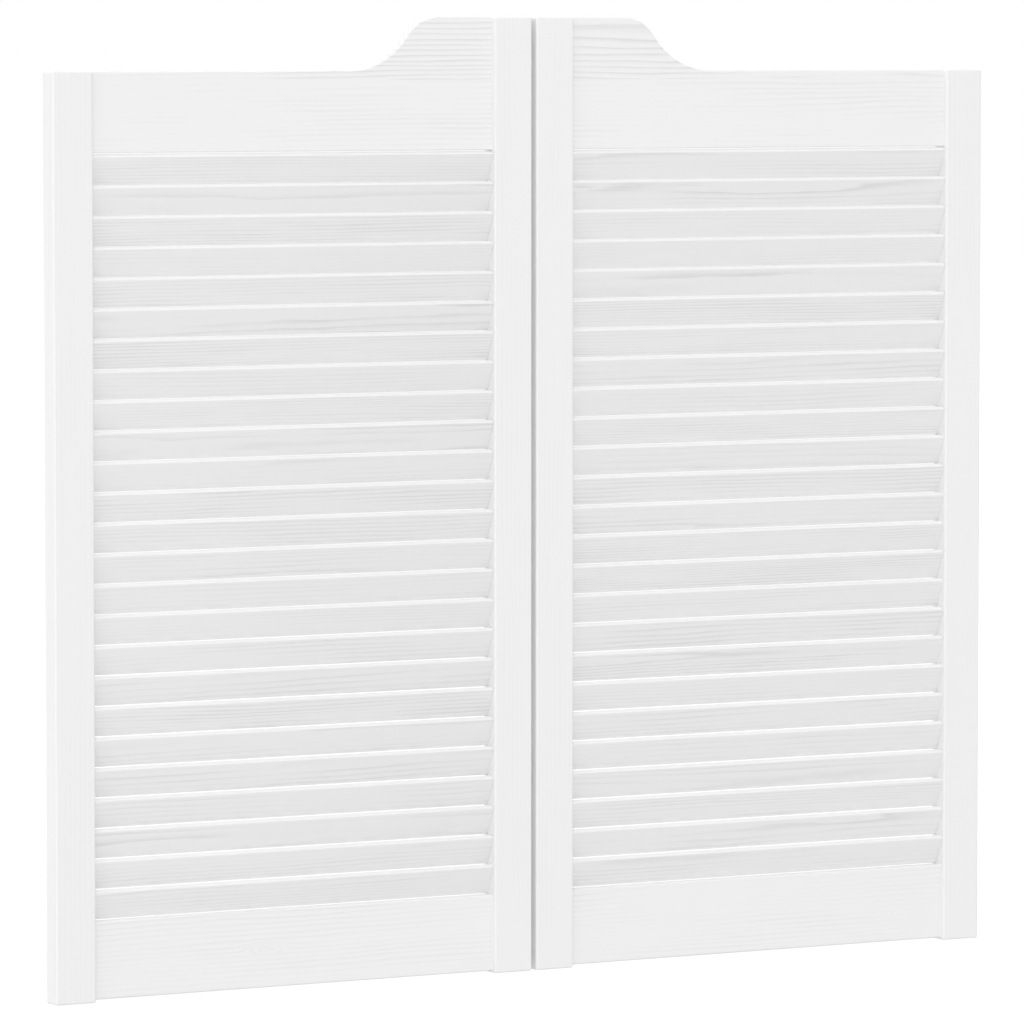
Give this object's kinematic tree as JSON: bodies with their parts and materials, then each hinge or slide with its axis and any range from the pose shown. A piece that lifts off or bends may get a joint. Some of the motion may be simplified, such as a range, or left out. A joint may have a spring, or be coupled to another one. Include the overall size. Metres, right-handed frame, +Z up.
{
  "type": "cafe swinging doors",
  "caption": "Pair of white louvred saloon-style doors with a raised shoulder at the meeting stiles, each leaf swinging both ways on concealed self-centring pivots.",
  "frame": {"origin": "the middle of the pair, at mid thickness, level with the lower ends of the stiles", "axes": "+X across the doorway to the right as seen from the front, +Y from the front face to the back face, +Z up"},
  "size_m": [1, 0.022, 0.9],
  "materials": {
    "painted_pine": "white paint, satin, over brushed pine grain",
    "turned_steel": "turned and zinc plated",
    "spring_steel": "drawn and oil blued",
    "acetal": "machined acetal"
  },
  "bodies": {
    "doorway_pivots": {"bottom_spindles": "turned_steel", "top_pins": "turned_steel", "left_torsion_bar": "spring_steel", "right_torsion_bar": "spring_steel"},
    "left_leaf": {"left_outer_stile": "painted_pine", "left_inner_stile": "painted_pine", "left_top_rail": "painted_pine", "left_bottom_rail": "painted_pine", "left_slats_top": "painted_pine", "left_slats_upper": "painted_pine", "left_slats_middle": "painted_pine", "left_slats_lower": "painted_pine", "left_slats_bottom": "painted_pine", "left_bottom_barrel": "turned_steel", "left_torsion_anchor": "turned_steel", "left_pivot_bushes": "acetal"},
    "right_leaf": {"right_outer_stile": "painted_pine", "right_inner_stile": "painted_pine", "right_top_rail": "painted_pine", "right_bottom_rail": "painted_pine", "right_slats_top": "painted_pine", "right_slats_upper": "painted_pine", "right_slats_middle": "painted_pine", "right_slats_lower": "painted_pine", "right_slats_bottom": "painted_pine", "right_bottom_barrel": "turned_steel", "right_torsion_anchor": "turned_steel", "right_pivot_bushes": "acetal"}
  },
  "joints": [
    {"name": "left_leaf_swing", "type": "hinge", "parent": "doorway_pivots", "child": "left_leaf", "pos_m": [-0.488, 0, 0], "axis": [0, 0, 1], "range_deg": [-90, 90], "stiffness_Nm_per_rad": 1.77, "deforming": ["left_torsion_bar"]},
    {"name": "right_leaf_swing", "type": "hinge", "parent": "doorway_pivots", "child": "right_leaf", "pos_m": [0.488, 0, 0], "axis": [0, 0, -1], "range_deg": [-90, 90], "stiffness_Nm_per_rad": 1.77, "deforming": ["right_torsion_bar"]}
  ]
}
